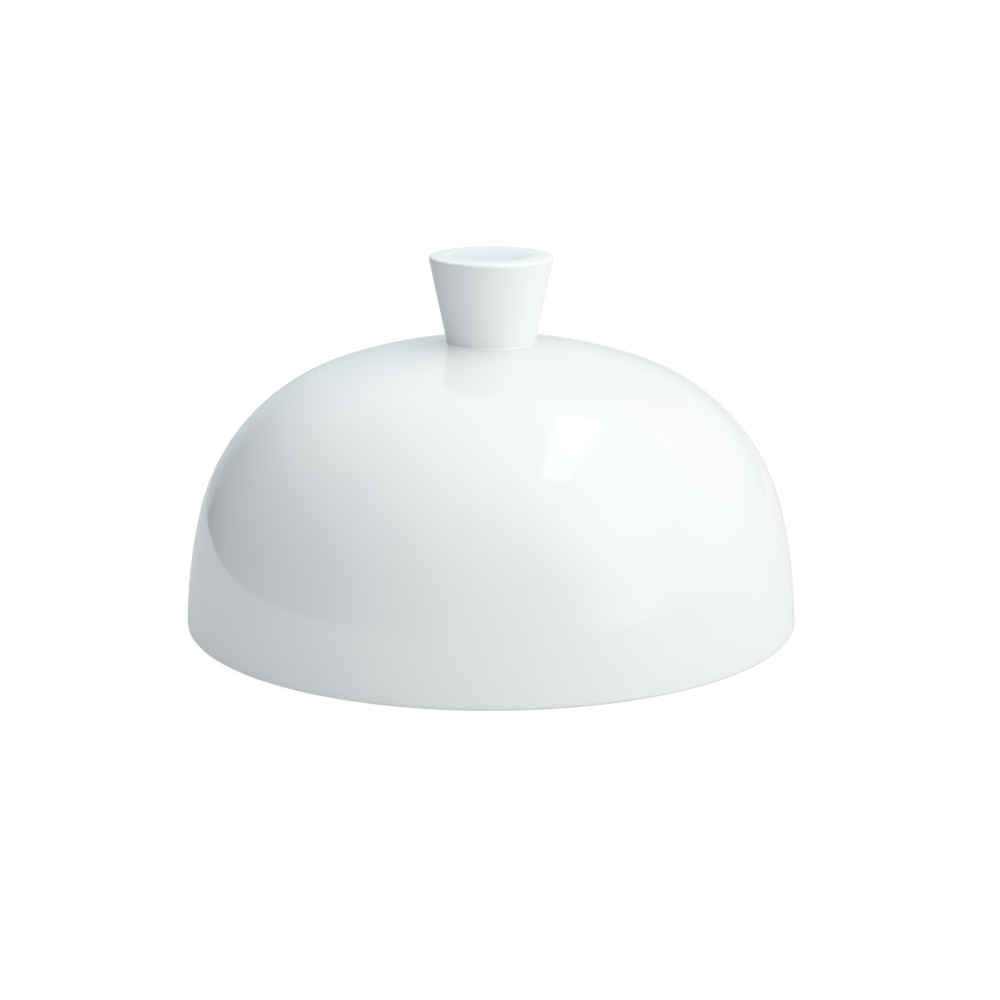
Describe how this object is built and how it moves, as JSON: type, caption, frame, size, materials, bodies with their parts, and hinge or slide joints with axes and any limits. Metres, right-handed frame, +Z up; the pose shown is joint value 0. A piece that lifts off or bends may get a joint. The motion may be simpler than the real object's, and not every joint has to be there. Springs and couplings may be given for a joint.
{
  "type": "serving cloche",
  "caption": "White glazed porcelain serving cloche: a hollow dome with an upright skirt and a foot ring, and a flared knob with a dished top screwed on through the crown.",
  "frame": {"origin": "centre of the foot ring, on the plane that the dome stands on", "axes": "+Z up along the dome's axis, from the foot ring to the knob; X and Y are alike, because the dome is round, and the spring washer's split lies at +X"},
  "size_m": [0.24, 0.24, 0.1445],
  "materials": {
    "dome_porcelain": "gloss glaze, unglazed on the flat of the foot ring",
    "knob_porcelain": "gloss glaze, unglazed on the foot",
    "white_silicone": "satin",
    "insert_brass": "turned",
    "insert_cement": "set cement, matt",
    "stainless_steel": "plain stainless"
  },
  "bodies": {
    "root": {"dome_shell": "dome_porcelain", "knob": "knob_porcelain", "knob_gasket": "white_silicone", "crown_grommet": "white_silicone", "knob_insert": "insert_brass", "insert_cement": "insert_cement", "flat_washer": "stainless_steel", "spring_washer": "stainless_steel", "knob_screw": "stainless_steel"}
  },
  "joints": []
}
